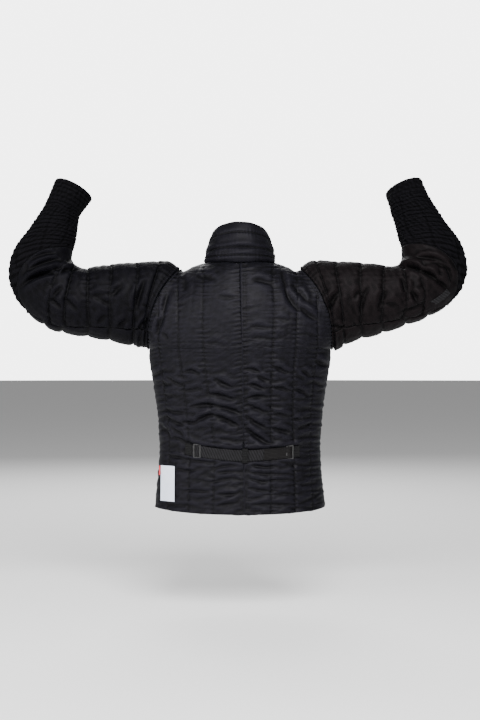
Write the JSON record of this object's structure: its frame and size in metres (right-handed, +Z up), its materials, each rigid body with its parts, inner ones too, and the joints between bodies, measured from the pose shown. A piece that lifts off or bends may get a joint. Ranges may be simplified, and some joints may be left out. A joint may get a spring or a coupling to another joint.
{
  "type": "fencing jacket",
  "caption": "Padded long-sleeved fencing jacket with stand collar, ribbed forearms and a back waist strap, hollow and open at neck, hem and cuffs, arms raised.",
  "frame": {"origin": "middle of the neck opening, at the height of the collar seam at the nape", "axes": "+Z up the wearer, front of the jacket towards -Y, wearer's left towards +X"},
  "size_m": [1.2386, 0.2628, 0.9069],
  "materials": {
    "satin_cloth": "black satin-faced cotton, quilted over padding",
    "ribbed_cloth": "matt black cloth over padding, quilted in narrow crosswise channels",
    "webbing": "black woven webbing with slanting ribs",
    "buckle_plastic": "black moulded plastic",
    "label_cloth": "white woven label, plain bands only",
    "red_cloth": "red folded tape"
  },
  "bodies": {
    "root": {"back_left": "satin_cloth", "back_right": "satin_cloth", "front_left": "satin_cloth", "front_right": "satin_cloth", "front_flap": "satin_cloth", "collar": "satin_cloth", "collar_tab": "satin_cloth", "sleeve_left": "satin_cloth", "sleeve_right": "satin_cloth", "under_strip_left": "satin_cloth", "under_strip_right": "satin_cloth", "forearm_left": "ribbed_cloth", "forearm_right": "ribbed_cloth", "cuff_left": "ribbed_cloth", "cuff_right": "ribbed_cloth", "waist_strap": "webbing", "strap_tail": "webbing", "strap_anchor_left": "webbing", "strap_anchor_right": "webbing", "strap_loop": "webbing", "elbow_loop_right": "webbing", "buckle_left": "buckle_plastic", "buckle_right": "buckle_plastic", "side_label": "label_cloth", "red_tab": "red_cloth"}
  },
  "joints": []
}
